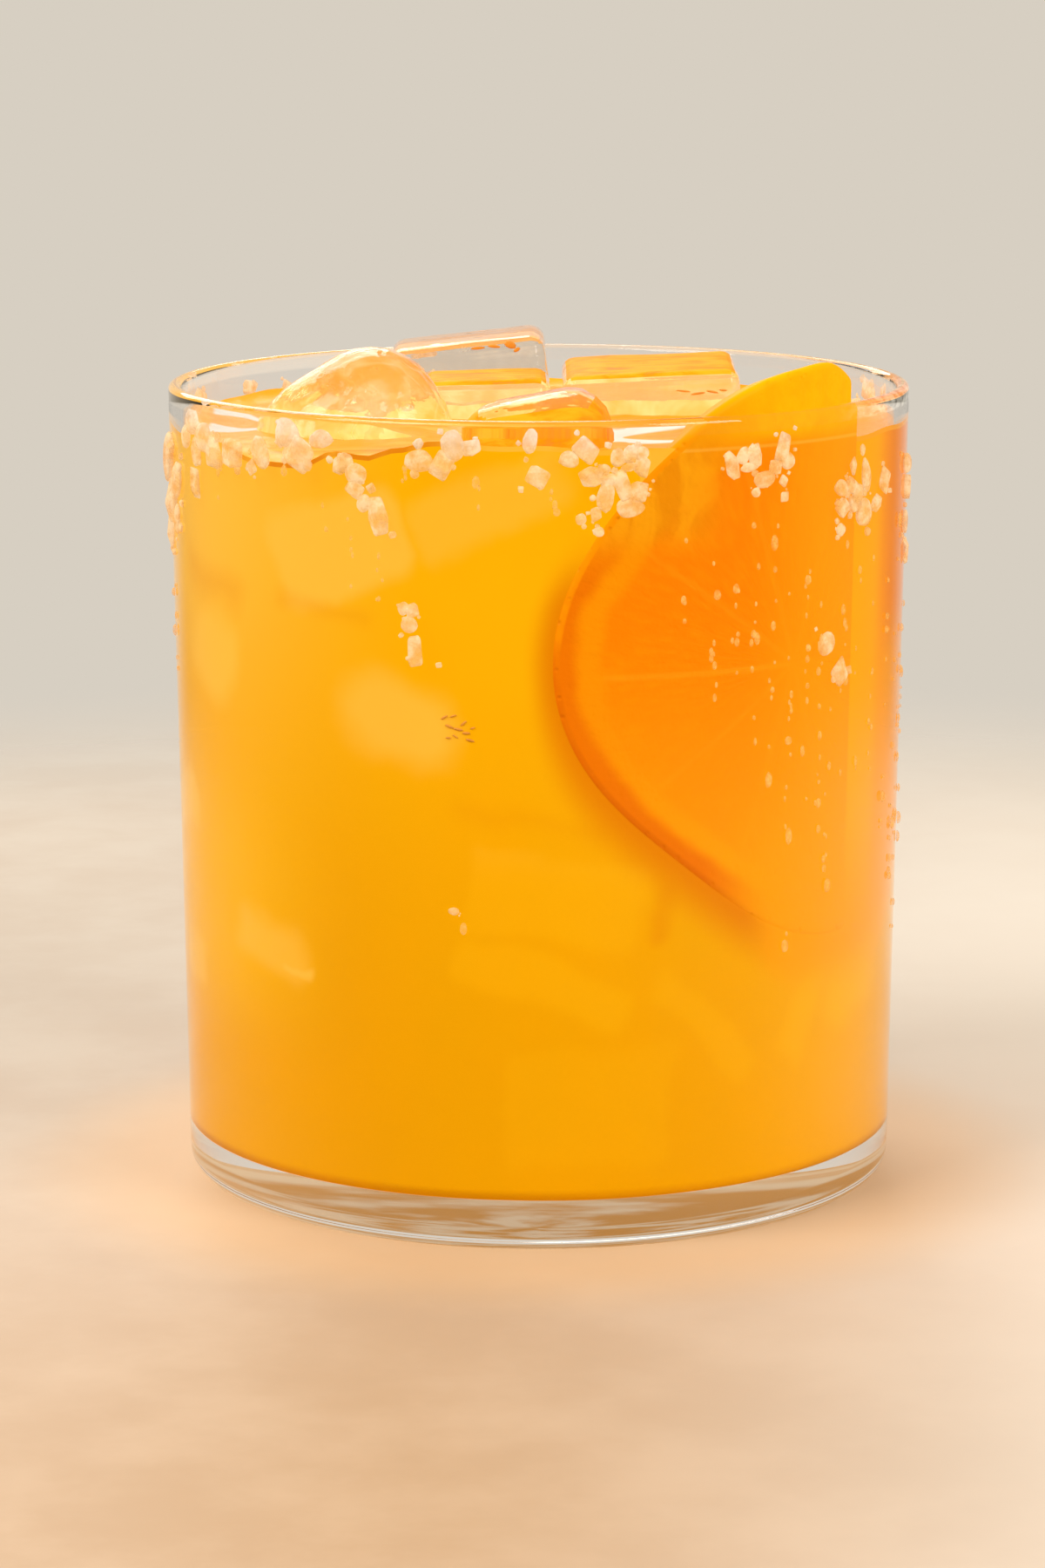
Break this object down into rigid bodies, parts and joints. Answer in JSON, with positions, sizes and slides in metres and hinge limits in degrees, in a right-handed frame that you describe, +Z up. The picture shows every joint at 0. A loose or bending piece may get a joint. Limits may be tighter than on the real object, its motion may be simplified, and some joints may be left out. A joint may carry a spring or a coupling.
{
  "type": "glass of margarita",
  "caption": "Low straight-sided tumbler filled with iced orange margarita, a cut orange wheel against the wall, ice cubes and coarse salt round the rim.",
  "frame": {"origin": "middle of the glass's foot, on the surface it stands on", "axes": "+Z up along the glass, -Y to the front, +X to the right, where the orange wheel is"},
  "size_m": [0.0895, 0.0895, 0.1001],
  "materials": {
    "clear_glass": "clear, polished",
    "drink": "cloudy orange drink, wet",
    "orange": "moist orange flesh and peel",
    "ice": "clear ice, wet",
    "salt": "coarse translucent crystals"
  },
  "bodies": {
    "root": {"glass": "clear_glass", "drink": "drink", "orange_wheel": "orange", "ice_left": "ice", "ice_back": "ice", "ice_right": "ice", "ice_middle": "ice", "ice_front": "ice"}
  },
  "joints": []
}
